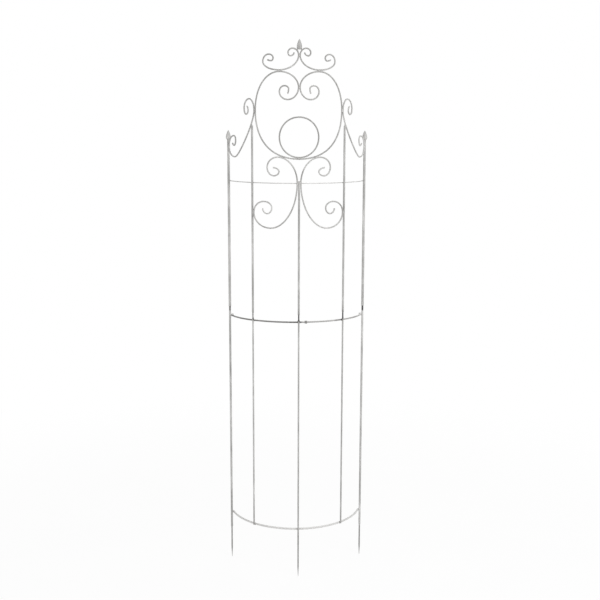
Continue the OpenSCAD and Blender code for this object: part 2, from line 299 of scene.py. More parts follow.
def quarter_turn(start, heading, following, quarter):
    """Places and directions along one quarter turn, first along heading and then along following."""
    across, rise, fullness, share = quarter
    first = heading * (abs(heading.x) * across + abs(heading.y) * rise)
    second = following * (abs(following.x) * across + abs(following.y) * rise)
    p0 = start
    p3 = start + first + second
    p1 = p0 + fullness * first
    p2 = p3 - fullness * second
    places = []
    for i in range(1, BEND_STEPS + 1):
        t = share * i / BEND_STEPS
        s = 1 - t
        at = s**3 * p0 + 3 * s * s * t * p1 + 3 * s * t * t * p2 + t**3 * p3
        way = s * s * (p1 - p0) + 2 * s * t * (p2 - p1) + t * t * (p3 - p2)
        places.append((at, way.normalized()))
    return places


def arm(start, heading, turn, quarters):
    """All the quarters of one arm of a scroll, one after another."""
    places = []
    for quarter in quarters:
        following = Vector((-turn * heading.y, turn * heading.x))
        places += quarter_turn(start, heading, following, quarter)
        start = places[-1][0]
        heading = following
    return places


def scroll(kiss_u, kiss_z, over, under):
    """A right-hand scroll's two arms as one route, from the end of one to the end of the other."""
    kiss = Vector((kiss_u, kiss_z))
    upward = Vector((0, 1))
    over_arm = arm(kiss, upward, CLOCKWISE, over)
    under_arm = arm(kiss, -upward, ANTICLOCKWISE, under)
    return [(at, -way) for at, way in reversed(over_arm)] + [(kiss, -upward)] + under_arm


def sided(route, side):
    """The same route on the side given: 1 right or -1 left."""
    flip = Vector((side, 1))
    return [(at * flip, way * flip) for at, way in route]


HEART_Z = lowest("heart_scroll_right") + ROD_R
HEART_SIDE_Z = HEART_Z + BOWL_H
LOBE_TOP_Z = HEART_SIDE_Z + SHOULDER_DROP
HEART_KISS_Z = LOBE_TOP_Z - LOBE_H
CROWN_KISS_Z = lowest("crown_scroll_right") + ROD_R + CROWN_SWEEP_H
LYRE_LOW_Z = lowest("lyre_scroll_right") + ROD_R
LYRE_KISS_Z = LYRE_LOW_Z + LYRE_BELLY_H
SIDE_LOW_Z = lowest("side_scroll_right") + ROD_R

ROUTES = {
    "heart_scroll": scroll(KISS_U, HEART_KISS_Z, HEART_OVER, HEART_CURL),
    "crown_scroll": scroll(KISS_U, CROWN_KISS_Z, CROWN_CURL, CROWN_OUT),
    "lyre_scroll": scroll(INNER_TOUCH, LYRE_KISS_Z, LYRE_OVER, LYRE_UNDER),
    "side_scroll": scroll(SIDE_KISS_U, HEART_SIDE_Z, SIDE_OVER, SIDE_UNDER),
}


def nearest(route, other):
    """Where two routes come closest: the place between them and the direction of the first one there."""
    pairs = [(here, there) for here in route for there in other]
    (at, way), (other_at, _) = min(pairs, key=lambda pair: (pair[0][0] - pair[1][0]).length)
    return (at + other_at) / 2, way


# Materials


class Shader:
    """A node tree, with short calls that add nodes and wire them."""

    def __init__(self, tree):
        self.tree = tree
        tree.nodes.clear()

    def add(self, kind, inputs, **settings):
        made = self.tree.nodes.new(kind)
        for key, value in settings.items():
            setattr(made, key, value)
        for key, value in inputs.items():
            if isinstance(value, bpy.types.NodeSocket):
                self.tree.links.new(value, made.inputs[key])
            else:
                made.inputs[key].default_value = value
        return made

    def coords(self):
        return self.add("ShaderNodeTexCoord", {}).outputs["Object"]

    def noise(self, scale, detail=4.0, stretch=(1, 1, 1)):
        """Noise with so many lumps per metre, drawn out along an axis by a small stretch there."""
        where = self.add("ShaderNodeMapping", {"Vector": self.coords(), "Scale": stretch})
        inputs = {"Vector": where.outputs["Vector"], "Scale": scale, "Detail": detail, "Roughness": 0.6}
        return self.add("ShaderNodeTexNoise", inputs).outputs["Fac"]

    def cells(self, scale):
        inputs = {"Vector": self.coords(), "Scale": scale}
        return self.add("ShaderNodeTexVoronoi", inputs).outputs["Distance"]

    def attribute(self, name):
        return self.add("ShaderNodeAttribute", {}, attribute_name=name).outputs["Fac"]

    def math(self, operation, first, second):
        return self.add("ShaderNodeMath", {0: first, 1: second}, operation=operation).outputs[0]

    def ramp(self, value, low, high, to_low=0.0, to_high=1.0):
        """Spreads a value between low and high, smoothly, over another range."""
        inputs = {"Value": value, "From Min": low, "From Max": high, "To Min": to_low, "To Max": to_high}
        return self.add("ShaderNodeMapRange", inputs, interpolation_type="SMOOTHSTEP").outputs["Result"]

    def mix(self, share, first, second):
        return self.add("ShaderNodeMix", {0: share, 6: first, 7: second}, data_type="RGBA").outputs[2]

    def seen_ray(self):
        """1 for a ray that shows the background: from the camera, in a reflection or through glass."""
        path = self.add("ShaderNodeLightPath", {}).outputs
        seen = self.math("MAXIMUM", path["Is Camera Ray"], path["Is Glossy Ray"])
        return self.math("MAXIMUM", seen, path["Is Transmission Ray"])


def new_material(name):
    material = bpy.data.materials.new(name)
    material.use_nodes = True
    return material, Shader(material.node_tree)


# Lumps of each pattern in a metre, for the streaks along X, Y and Z
CLOUDS_PER_M = 14
FINE_PER_M = 280
PEEL_PER_M = 1100
PITS_PER_M = 150
STREAKS_PER_M = (260, 260, 14)
# Strengths of the patterns in the colour and in the relief
CLOUD_SHARE = 0.6
STREAK_SHARE = 0.4
PATCH_CONTRAST = 2.2
PIT_SHARE = 0.6
RUB_GRAIN = 0.6
RUB_POLISH = -0.3
BARE_METAL = 0.25
STREAK_RELIEF = 0.4
PEEL_RELIEF = 0.3
PIT_RELIEF = -0.5
BUMP_STRENGTH = 0.4
BUMP_H = 0.3 * MM

STEEL = (0.038, 0.037, 0.036, 1)
SCALE_GREY = (0.080, 0.075, 0.069, 1)
GRIME = (0.150, 0.140, 0.125, 1)
PALE_PAINT = (0.680, 0.675, 0.662, 1)
DULL_PAINT = (0.320, 0.316, 0.306, 1)
PALE_WORN = (0.560, 0.555, 0.542, 1)
DULL_WORN = (0.200, 0.196, 0.189, 1)


def painted_steel(name, pale, dull):
    """Thin matt paint with clouds, streaks, pits, dirt by the welds and rubbed places of bare steel."""
    material, s = new_material(name)
    clouds = s.noise(CLOUDS_PER_M, 5)
    streaks = s.noise(1, 3, STREAKS_PER_M)
    fine = s.noise(FINE_PER_M, 4)
    peel = s.noise(PEEL_PER_M, 2)
    tone = s.attribute("tone")
    grime = s.attribute("grime")
    wear = s.attribute("wear")

    cloudy = s.math("MULTIPLY", clouds, CLOUD_SHARE)
    patchy = s.math("ADD", cloudy, s.math("MULTIPLY", streaks, STREAK_SHARE))
    patches = s.math("MULTIPLY", s.math("SUBTRACT", patchy, 0.5), PATCH_CONTRAST)
    shade = s.math("ADD", tone, patches)
    paint = s.mix(s.ramp(shade, 0.0, 1.0), pale, dull)
    spots = s.ramp(s.cells(PITS_PER_M), 0.05, 0.10, 1.0, 0.0)
    pits = s.math("MULTIPLY", spots, s.ramp(clouds, 0.45, 0.6))
    paint = s.mix(s.math("MULTIPLY", pits, PIT_SHARE), paint, SCALE_GREY)
    dirt = s.math("MULTIPLY", grime, s.ramp(fine, 0.3, 0.7, 0.15, 0.75))
    paint = s.mix(dirt, paint, GRIME)

    bare = s.ramp(s.math("ADD", wear, s.math("MULTIPLY", fine, RUB_GRAIN)), 0.72, 0.86)
    steel = s.mix(s.ramp(clouds, 0.4, 0.6), STEEL, SCALE_GREY)
    rough = s.ramp(s.math("ADD", fine, s.math("MULTIPLY", bare, RUB_POLISH)), 0.1, 0.8, 0.36, 0.66)
    ridges = s.math("MULTIPLY", streaks, STREAK_RELIEF)
    height = s.math("ADD", ridges, s.math("MULTIPLY", peel, PEEL_RELIEF))
    height = s.math("ADD", height, s.math("MULTIPLY", s.math("ADD", bare, pits), PIT_RELIEF))
    bump = s.add("ShaderNodeBump", {"Height": height, "Strength": BUMP_STRENGTH, "Distance": BUMP_H})
    finish = {
        "Base Color": s.mix(bare, paint, steel),
        "Roughness": rough,
        "Metallic": s.math("MULTIPLY", bare, BARE_METAL),
        "Normal": bump.outputs["Normal"],
    }
    surface = s.add("ShaderNodeBsdfPrincipled", finish).outputs["BSDF"]
    s.add("ShaderNodeOutputMaterial", {"Surface": surface})
    return material


PAINT = painted_steel("grey_white_paint", PALE_PAINT, DULL_PAINT)
WORN = painted_steel("worn_paint", PALE_WORN, DULL_WORN)
PAINT_LOOKS = {"material": PAINT, "slot": "paint"}
WORN_LOOKS = {"material": WORN, "slot": "worn_paint"}


# Meshes


def finish_piece(name, mesh_data, body, material, slot):
    """Makes a smooth piece of vertices and faces that rides on a body."""
    verts, faces = mesh_data
    mesh = bpy.data.meshes.new(name)
    mesh.from_pydata([tuple(v) for v in verts], [], faces)
    mesh.shade_smooth()
    mesh.set_sharp_from_angle(angle=SHARP_ANGLE)
    mesh.materials.append(material)
    piece = bpy.data.objects.new(name, mesh)
    bpy.context.scene.collection.objects.link(piece)
    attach(piece, body)
    return piece


def stand_for(node, mesh_data, body, looks=PAINT_LOOKS):
    """A detailed piece in the place of a node."""
    piece = finish_piece(f"{node}_detailed", mesh_data, body, **looks)
    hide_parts(node)


def sweep(sections, sides, closed=False):
    """Vertices and faces of a tube through sections: middles, two directions across, and radii."""
    verts = []
    for at, across, beside, radius in sections:
        for j in range(sides):
            turn = 2 * math.pi * j / sides
            verts.append(at + radius * (math.cos(turn) * across + math.sin(turn) * beside))
    count = len(sections)
    faces = []
    for i in range(count if closed else count - 1):
        here = i * sides
        there = (i + 1) % count * sides
        for j in range(sides):
            k = (j + 1) % sides
            faces.append((here + j, here + k, there + k, there + j))
    if not closed:
        faces.append(tuple(range(sides - 1, -1, -1)))
        faces.append(tuple(range((count - 1) * sides, count * sides)))
    return verts, faces


def joined(meshes):
    """Several meshes as one."""
    verts = []
    faces = []
    for more_verts, more_faces in meshes:
        offset = len(verts)
        verts += more_verts
        faces += [tuple(offset + i for i in face) for face in more_faces]
    return verts, faces


def rounded_ends(sections, bulge=ROD_END_BULGE):
    """The same row of sections with both ends rounded off within its length."""
    row = list(sections)
    for _ in range(2):
        row.reverse()
        end, across, beside, radius = row[-1]
        way = (end - row[-2][0]).normalized()
        depth = bulge * radius
        row = [section for section in row if (section[0] - end).length > depth]
        for i in range(CAP_STEPS + 1):
            turn = CAP_TURN * i / CAP_STEPS
            back = depth * (1 - math.sin(turn))
            row.append((end - back * way, across, beside, radius * math.cos(turn)))
    return row


def rod_sections(route, radius):
    """Sections of a rod along a route on the half round."""
    sections = []
    for at, way in route:
        angle = at.x / ARC_R
        out = plan_out(angle)
        along = way.x * plan_along(angle) + way.y * UP
        sections.append((on_plan(at.x, at.y), out, along.cross(out), radius))
    return sections


def hoop_section(node, angle, radius):
    """Section across a hoop at an angle round the plan."""
    slope = hoop_slope(node)
    return hoop_at(node, angle), slope @ plan_out(angle), slope @ -UP, radius


def softened(corners, edge=EDGE, closed=False):
    """A profile with its corners rounded off, as paint and wear leave them."""
    points = []
    count = len(corners)
    for i, corner in enumerate(corners):
        here = Vector(corner)
        if not closed and i in (0, count - 1):
            points.append(here)
            continue
        before = Vector(corners[i - 1]) - here
        after = Vector(corners[(i + 1) % count]) - here
        reach = min(edge, before.length / 3, after.length / 3)
        start = here + reach * before.normalized()
        end = here + reach * after.normalized()
        for k in range(EDGE_STEPS + 1):
            t = k / EDGE_STEPS
            points.append((1 - t) ** 2 * start + 2 * t * (1 - t) * here + t**2 * end)
    return points


def divided(points, step=STRETCH):
    """A profile with long stretches cut up, so that marks can be placed along them."""
    fine = [points[0]]
    for point in points[1:]:
        start = fine[-1]
        count = max(1, math.ceil((point - start).length / step))
        fine += [start.lerp(point, i / count) for i in range(1, count + 1)]
    return fine


def turned(xy, points, sides=TURN_SIDES, closed=False):
    """Vertices and faces of a piece turned about an upright's axis, from radii and heights."""
    sections = [(Vector((xy.x, xy.y, p.y)), RIGHT, BACK, p.x) for p in points]
    return sweep(sections, sides, closed)


# Lower section


def spike_corners(radius):
    """Profile of a spike, from its tip up to the feet of the outer uprights."""
    return [(TIP_R / 2, 0), (TIP_R, TIP_R), (radius, POINT_H), (radius, Z_OUTER_FOOT)]


def lower_upright(place):
    node = f"lower_upright_{place}"
    lower_r = half_width(node)
    slim_r = neck_r(place)
    foot_z = lowest(node)
    shoulder_z = Z_MIDDLE + SHOULDER_H
    if place == "centre":
        foot = spike_corners(lower_r - SPIKE_SLIM) + [(lower_r, Z_OUTER_FOOT + SPIKE_SLIM)]
    elif place in OUTER_PLACES:
        hole_r = SHANK_R + SHANK_GAP
        foot = [(hole_r, Z_MIDDLE - END_WALL), (hole_r, foot_z), (lower_r, foot_z)]
    else:
        foot = [(lower_r / 2, foot_z), (lower_r, foot_z)]
    neck = [(lower_r, shoulder_z), (slim_r, shoulder_z + lower_r - slim_r)]
    neck += [(slim_r, Z_STOP - EDGE), (slim_r - EDGE, Z_STOP)]
    points = divided(softened(foot + neck))
    stand_for(node, turned(upright_xy[place], points), LOWER)


def ground_spike(side):
    node = f"ground_spike_{side}"
    top = highest(node)
    shank = [(SHANK_R, Z_OUTER_FOOT), (SHANK_R, top - EDGE), (SHANK_R - EDGE, top)]
    points = divided(softened(spike_corners(half_width(node)) + shank))
    stand_for(node, turned(upright_xy[f"{side}_outer"], points), LOWER, WORN_LOOKS)


def hoop(node, first, last, body, looks=PAINT_LOOKS):
    steps = math.ceil(HOOP_STEPS * (last - first) / (2 * HOOP_END))
    angles = [first + (last - first) * i / steps for i in range(steps + 1)]
    sections = [hoop_section(node, angle, hoop_rod_r(node)) for angle in angles]
    stand_for(node, sweep(rounded_ends(sections, HOOP_END_BULGE), ROD_SIDES), body, looks)


def ferrule():
    """A sleeve pressed over the middle hoop's two ends, with two rolled grooves."""
    inner_r = MIDDLE_ROD_R + FERRULE_GAP
    outer_r = half_height("hoop_ferrule")
    low_r = outer_r - FERRULE_GROOVE
    half = FERRULE_L / 2
    corners = [(inner_r, -half), (low_r, -half), (outer_r, -FERRULE_SHOULDER * half)]
    for at in (-FERRULE_GROOVE_AT, FERRULE_GROOVE_AT):
        corners.append((outer_r, (at - FERRULE_GROOVE_HALF) * half))
        corners.append((low_r, at * half))
        corners.append((outer_r, (at + FERRULE_GROOVE_HALF) * half))
    corners += [(outer_r, FERRULE_SHOULDER * half), (low_r, half), (inner_r, half)]
    radius = hoop_radius("middle_hoop_left")
    sections = []
    for point in softened(corners, edge=FERRULE_GROOVE, closed=True):
        sections.append(hoop_section("middle_hoop_left", FERRULE_ANGLE + point.y / radius, point.x))
    stand_for("hoop_ferrule", sweep(sections, TURN_SIDES, closed=True), LOWER, WORN_LOOKS)


for place in PLACES:
    lower_upright(place)
for side in SIDES:
    ground_spike(side)
hoop("bottom_hoop", -HOOP_END, HOOP_END, LOWER)
hoop("middle_hoop_left", -HOOP_END, FERRULE_ANGLE, LOWER, WORN_LOOKS)
hoop("middle_hoop_right", FERRULE_ANGLE, HOOP_END, LOWER, WORN_LOOKS)
ferrule()


# Upper section


def crimp_groove(outer_r):
    """The rolled groove outside a tube, over the crimp that its neck stops against."""
    crimp_z = Z_STOP + CRIMP_BORE_H / 2
    points = []
    for i in range(CRIMP_STEPS + 1):
        share = 2 * i / CRIMP_STEPS - 1
        dip = CRIMP_DEPTH * (1 + math.cos(math.pi * share)) / 2
        points.append(Vector((outer_r - dip, crimp_z + share * CRIMP_H / 2)))
    return points


def tube_end(outer_r, top):
    """The closed, round end of a tube."""
    steps = 2 * CAP_STEPS
    points = []
    for i in range(steps):
        turn = math.pi / 2 * i / steps
        points.append(Vector((outer_r * math.cos(turn), top - outer_r + outer_r * math.sin(turn))))
    return points


def upper_upright(place):
    """A tube with its socket: from the top of its bore down to the mouth, and up again outside."""
    node = f"upper_upright_{place}"
    top = highest(node)
    outer_r = tube_r(place)
    inner_r = bore_r(place)
    open_top = place in OUTER_PLACES
    bore_top = top if open_top else top - outer_r - END_WALL
    crimp_top = Z_STOP + CRIMP_BORE_H
    corners = [(inner_r, bore_top), (inner_r, crimp_top)]
    corners += [(CRIMP_BORE_R, crimp_top), (CRIMP_BORE_R, Z_STOP)]
    corners += [(inner_r, Z_STOP), (inner_r, Z_MOUTH), (outer_r, Z_MOUTH), (outer_r, Z_STOP)]
    inside = softened(corners)[:-1]
    outside = crimp_groove(outer_r)
    outside += [Vector((outer_r, top))] if open_top else tube_end(outer_r, top)
    points = divided(inside + outside)
    stand_for(node, turned(upright_xy[place], points, closed=open_top), UPPER)


def bud_points(base_r, belly_r, base_z, height):
    """Profile of a pointed bud that swells from its base and draws in to a tip."""
    points = []
    for i in range(BUD_STEPS):
        s = i / BUD_STEPS
        swell = math.sin(math.pi / 2 * s)
        points.append(Vector((base_r + (belly_r - base_r) * swell, base_z + BELLY_H * s)))
    for i in range(2 * BUD_STEPS):
        s = i / (2 * BUD_STEPS)
        points.append(Vector((belly_r * (1 - s**BUD_TAPER), base_z + BELLY_H + (height - BELLY_H) * s)))
    return points


def finial(node, xy, points):
    """A cast bud with the fine seam of its mould down both sides."""
    verts, faces = turned(xy, points, BUD_SIDES)
    for ring_at, point in enumerate(points):
        lift = min(SEAM_H, SEAM_LIMIT * point.x) * RIGHT
        right = ring_at * BUD_SIDES
        left = right + BUD_SIDES // 2
        verts[right] = verts[right] + lift
        verts[left] = verts[left] - lift
    stand_for(node, (verts, faces), UPPER)


def outer_finial(side):
    node = f"finial_{side}"
    place = f"{side}_outer"
    base_z = highest(f"upper_upright_{place}")
    stem_r = bore_r(place) - STEM_GAP
    stem = [(stem_r - EDGE, base_z - STEM_H), (stem_r, base_z - STEM_H + EDGE), (stem_r, base_z)]
    bud = bud_points(tube_r(place), half_width(node), base_z, highest(node) - base_z)
    finial(node, upright_xy[place], [Vector(p) for p in stem] + bud)


def centre_finial():
    node = "finial_centre"
    base_z = lowest(node)
    bud = bud_points(CAP_BASE_R, half_width(node), base_z, highest(node) - base_z)
    base = [Vector((CAP_BASE_R / 2, base_z)), Vector((CAP_BASE_R - EDGE, base_z))]
    finial(node, middle(node).xy, base + bud[1:])


def ring():
    radius = half_height("ring") - ROD_R
    centre = Vector((0, middle("ring").z))
    route = []
    for i in range(RING_STEPS):
        turn = 2 * math.pi * i / RING_STEPS
        spoke = Vector((math.cos(turn), math.sin(turn)))
        route.append((centre + radius * spoke, Vector((-spoke.y, spoke.x))))
    stand_for("ring", sweep(rod_sections(route, ROD_R), ROD_SIDES, closed=True), UPPER)


for place in PLACES:
    upper_upright(place)
hoop("top_hoop", -HOOP_END, HOOP_END, UPPER)
ring()
for shape, route in ROUTES.items():
    for side, sign in SIDES.items():
        sections = rounded_ends(rod_sections(sided(route, sign), ROD_R))
        stand_for(f"{shape}_{side}", sweep(sections, ROD_SIDES), UPPER)
for side in SIDES:
    outer_finial(side)
centre_finial()


# Welds

BEAD_STEP = 0.45 * MM
BEAD_SIDES = 12
RIPPLE_L = 1.5 * MM
RIPPLE_DEPTH = 0.16
LOOP_STEPS = 32
LOOP_BEAD_R = 0.7 * MM
# How beads thin at their ends, and two waves in their thickness that start anew at each place
END_TRIM = 0.03
END_TAPER = 0.4
SLOW_WAVE = 0.08
SLOW_TURN = 7
SLOW_START = 900
QUICK_WAVE = 0.06
QUICK_TURN = 23
QUICK_START = 700


def bead(path, out, radius, closed=False, ripple_depth=RIPPLE_DEPTH):
    """A weld bead along a path, with the ripples of its pool and thin ends."""
    places = divided(path, BEAD_STEP)
    if closed:
        places = places[:-1]
    count = len(places)
    length = sum((b - a).length for a, b in zip(places, places[1:]))
    sections = []
    for i, at in enumerate(places):
        before = places[i - 1] if i or closed else at
        after = places[(i + 1) % count] if i + 1 < count or closed else at
        way = (after - before).normalized()
        across = (out - out.dot(way) * way).normalized()
        share = i / (count - 1)
        ripple = 1 - ripple_depth * (1 - abs(math.sin(math.pi * share * length / RIPPLE_L)))
        trimmed = min(max(share, END_TRIM), 1 - END_TRIM)
        thin = 1 if closed else math.sin(math.pi * trimmed) ** END_TAPER
        slow = SLOW_WAVE * math.sin(SLOW_TURN * share + SLOW_START * at.x)
        quick = QUICK_WAVE * math.sin(QUICK_TURN * share + QUICK_START * at.z)
        sections.append((at, across, way.cross(across), radius * ripple * thin * (1 + slow + quick)))
    return sweep(sections, BEAD_SIDES, closed)


def loop_bead(at, across, beside, radius, bead_r):
    """A weld bead all round a rod or tube."""
    path = []
    for i in range(LOOP_STEPS + 1):
        turn = 2 * math.pi * i / LOOP_STEPS
        path.append(at + radius * (math.cos(turn) * across + math.sin(turn) * beside))
    return bead(path, across.cross(beside), bead_r, closed=True)


GROOVE_HALF_L = 6 * MM
GROOVE_LIFT = 0.62 * ROD_R
GROOVE_BEAD_R = 0.5 * ROD_R
UPRIGHT_WAY = Vector((0, 1))
LEVEL_WAY = Vector((1, 0))


def groove_beads(at, way):
    """Beads in front of and behind two rods that touch, along them."""
    beads = []
    for face in (-1, 1):
        path = []
        for share in (-1, 0, 1):
            place = at + share * GROOVE_HALF_L * way
            path.append(on_plan(place.x, place.y, face * GROOVE_LIFT))
        beads.append(bead(path, face * plan_out(at.x / ARC_R), GROOVE_BEAD_R))
    return beads


# Shares of a hoop rod's radius, and of its bead's radius, that place the beads at a crossing
CROSSING_INSET = 0.25
CROSSING_LIFT = 0.95
CROSSING_REACH = 1.2
CROSSING_DROOP = 0.35
HOOP_BEAD_R = {"top_hoop": 1.0 * MM, "middle_hoop_left": 1.5 * MM, "bottom_hoop": 1.3 * MM}


def crossing_beads(place, upright_r, node):
    """Beads above and below a hoop where it lies against the inside of an upright."""
    xy = upright_xy[place]
    angle = plan_angle(xy)
    rod_r = hoop_rod_r(node)
    radius = HOOP_BEAD_R[node]
    inside_r = plan_radius(xy) - upright_r - CROSSING_INSET * rod_r
    corner = at_angle(angle, inside_r, hoop_at(node, angle).z)
    reach = (upright_r + CROSSING_REACH * radius) * plan_along(angle)
    beads = []
    for face in (-1, 1):
        edge = corner + face * CROSSING_LIFT * rod_r * UP
        ends = face * CROSSING_DROOP * radius * UP
        beads.append(bead([edge - reach - ends, edge, edge + reach - ends], face * UP, radius))
    return beads


def hoop_welds(node, uprights, places=PLACES):
    """The welds of one hoop to its uprights."""
    beads = []
    for place in places:
        beads += crossing_beads(place, half_width(f"{uprights}_{place}"), node)
    return beads


SADDLE_H = 9 * MM
SADDLE_STEPS = 14
SADDLE_SKIN = 0.25 * MM
SADDLE_LIFT = 0.4 * MIDDLE_ROD_R
SADDLE_LEAN = 0.5
SADDLE_FLARE = 2.4
SADDLE_WAVE = 0.05
SADDLE_TURN = 11
SADDLE_START = 800
SADDLE_REACH = {"centre": 6 * MM, "left_inner": 3.5 * MM, "right_inner": 4 * MM}


def neck_saddle(place, reach):
    """Weld that has run up the foot of a neck from the middle hoop, in a flare along the hoop."""
    xy = upright_xy[place]
    angle = plan_angle(xy)
    out = plan_out(angle)
    lower_r = half_width(f"lower_upright_{place}")
    slim_r = neck_r(place) + SADDLE_SKIN
    foot_z = hoop_at("middle_hoop_left", angle).z + SADDLE_LIFT
    sections = []
    for i in range(SADDLE_STEPS + 1):
        share = i / SADDLE_STEPS
        flare = (1 - share) ** SADDLE_FLARE
        lump = 1 + SADDLE_WAVE * math.sin(SADDLE_TURN * share + SADDLE_START * xy.x)
        long_r = (slim_r + reach * flare) * lump
        deep_r = slim_r + (lower_r - neck_r(place)) * flare
        at = Vector((xy.x, xy.y, foot_z + SADDLE_H * share)) - SADDLE_LEAN * lower_r * flare * out
        sections.append((at, long_r * plan_along(angle), -deep_r * out, 1))
    return sweep(sections, ROD_SIDES)


LUMP_R = 4 * MM
LUMP_L = 13 * MM
LUMP_LIFT = 1 * MM
LUMP_INSET = 1.5 * MM
LUMP_RIPPLE_DEPTH = 0.05


def end_lump(side):
    """The lump of weld along the top of the middle hoop's end, beside an outer upright."""
    angle = plan_angle(upright_xy[f"{side}_outer"])
    along = -SIDES[side] * plan_along(angle)
    start = hoop_at("middle_hoop_left", angle) + (MIDDLE_ROD_R + LUMP_LIFT) * UP
    start = start - LUMP_INSET * plan_out(angle)
    return bead([start, start + LUMP_L * along], UP, LUMP_R, ripple_depth=LUMP_RIPPLE_DEPTH)


def scroll_contacts():
    """Where the scrolls, the ring and the tubes touch, as places and the directions of their grooves."""
    tube_half = tube_r("centre") + TOUCH_GAP / 2
    contacts = {
        "heart": [
            (Vector((0, HEART_KISS_Z)), UPRIGHT_WAY),
            (Vector((0, HEART_Z + ROD_TOUCH / 2)), LEVEL_WAY),
        ],
        "crown": [(Vector((0, CROWN_KISS_Z)), UPRIGHT_WAY)],
        "lyre_centre": [],
        "lyre": [],
        "side_outer": [],
        "side": [],
    }
    for sign in SIDES.values():
        heart = sided(ROUTES["heart_scroll"], sign)
        lyre = sided(ROUTES["lyre_scroll"], sign)
        side_route = sided(ROUTES["side_scroll"], sign)
        tube_top = Vector((sign * U_INNER, highest("upper_upright_right_inner") - tube_r("centre")))
        contacts["crown"] += [
            (Vector((sign * LOBE_U, LOBE_TOP_Z + ROD_TOUCH / 2)), LEVEL_WAY),
        ]
        contacts["lyre_centre"] += [
            (Vector((sign * tube_half, LYRE_KISS_Z)), UPRIGHT_WAY),
        ]
        contacts["lyre"] += [
            (Vector((sign * (U_INNER - tube_half), LYRE_LOW_Z + LYRE_HIP_H)), UPRIGHT_WAY),
            nearest(lyre, heart),
        ]
        contacts["side_outer"] += [
            (Vector((sign * (U_OUTER - tube_r("right_outer")), SIDE_LOW_Z + SIDE_CUP_H)), UPRIGHT_WAY),
        ]
        contacts["side"] += [
            (Vector((sign * (HEART_SIDE_U + ROD_TOUCH / 2), HEART_SIDE_Z)), UPRIGHT_WAY),
            nearest(side_route, [(tube_top, UPRIGHT_WAY)]),
        ]
    return contacts


CAP_BEAD_R = 0.5 * ROD_R
CAP_BEAD_LIFT = 0.5 * ROD_R
CAP_BEAD_SPAN = (0.55 * CAP_BASE_R, 1.1 * CAP_BASE_R)


def finial_beads():
    """Beads round the feet of the outer buds, and where the centre bud sits on the crown's scrolls."""
    beads = []
    for side in SIDES:
        xy = upright_xy[f"{side}_outer"]
        foot = Vector((xy.x, xy.y, highest(f"upper_upright_{side}_outer")))
        beads.append(loop_bead(foot, RIGHT, BACK, tube_r("right_outer"), LOOP_BEAD_R))
    base_z = lowest("finial_centre")
    for sign in SIDES.values():
        for face in (-1, 1):
            ends = [on_plan(sign * u, base_z, face * CAP_BEAD_LIFT) for u in CAP_BEAD_SPAN]
            beads.append(bead(ends, face * plan_out(0), CAP_BEAD_R))
    return beads


SPIKE_BEAD_R = 0.8 * MM
SPIKE_BEAD_LIFT = 0.3 * MM


def spike_beads():
    """Beads round the outer spikes, at the feet of the uprights that they are plugged into."""
    beads = []
    for side in SIDES:
        xy = upright_xy[f"{side}_outer"]
        foot = Vector((xy.x, xy.y, Z_OUTER_FOOT))
        spike_r = half_width(f"ground_spike_{side}")
        beads.append(loop_bead(foot, RIGHT, BACK, spike_r + SPIKE_BEAD_LIFT, SPIKE_BEAD_R))
    return beads


# How dirty the rods are by each weld, and how far from it
WELD_DIRT = {
    "heart": 0.45,
    "crown": 0.4,
    "side": 0.35,
    "finials": 0.6,
    "middle_hoop": 0.65,
    "middle_hoop_ends": 0.0,
}
PLAIN_DIRT = 0.15
DIRT_ON_WELDS = 0.35
GRIME_REACH = 6 * MM
dirt_marks = []


def weld_piece(name, beads, body):
    finish_piece(f"welds_{name}", joined(beads), body, **PAINT_LOOKS)
    for verts, _ in beads:
        middle_of_bead = sum(verts, Vector()) / len(verts)
        dirt_marks.append((middle_of_bead, GRIME_REACH, WELD_DIRT.get(name, PLAIN_DIRT)))


for name, contacts in scroll_contacts().items():
    weld_piece(name, [mesh for at, way in contacts for mesh in groove_beads(at, way)], UPPER)
weld_piece("heart_foot", [loop_bead(on_plan(0, HEART_Z), BACK, UP, ROD_R, LOOP_BEAD_R)], UPPER)
weld_piece("finials", finial_beads(), UPPER)
weld_piece("top_hoop", hoop_welds("top_hoop", "upper_upright"), UPPER)
weld_piece("middle_hoop", hoop_welds("middle_hoop_left", "lower_upright", INNER_PLACES), LOWER)
end_welds = hoop_welds("middle_hoop_left", "lower_upright", OUTER_PLACES)
weld_piece("middle_hoop_ends", end_welds + [end_lump(side) for side in SIDES], LOWER)
for place, reach in SADDLE_REACH.items():
    weld_piece(f"neck_{place}", [neck_saddle(place, reach)], LOWER)
weld_piece("bottom_hoop", hoop_welds("bottom_hoop", "lower_upright"), LOWER)
weld_piece("spikes", spike_beads(), LOWER)


# Wear, weather and painted light, as marks on the meshes that the materials read

# How dull the paint is, from 0 pale to 1 dull, by the start of a piece's name
TONES = {
    "top_hoop": 0.3,
    "bottom_hoop": 0.05,
    "middle_hoop_left": 0.9,
    "middle_hoop_right": 0.45,
    "hoop_ferrule": 0.7,
    "ground_spike_left": 0.5,
    "ground_spike_right": 0.65,
    "ring": 0.82,
    "heart_scroll": 0.72,
    "crown_scroll": 0.68,
    "lyre_scroll": 0.49,
    "side_scroll_left": 0.6,
    "side_scroll_right": 0.45,
    "finial_centre": 0.6,
    "finial": 0.46,
    "upper_upright_left_inner": 0.72,
    "upper_upright_centre": 0.63,
    "lower_upright_left_outer": 0.66,
    "lower_upright_centre": 0.66,
    "lower_upright_right_inner": 0.73,
    "welds_middle_hoop_ends": 0.4,
    "welds": 0.25,
}
PLAIN_TONE = 0.55
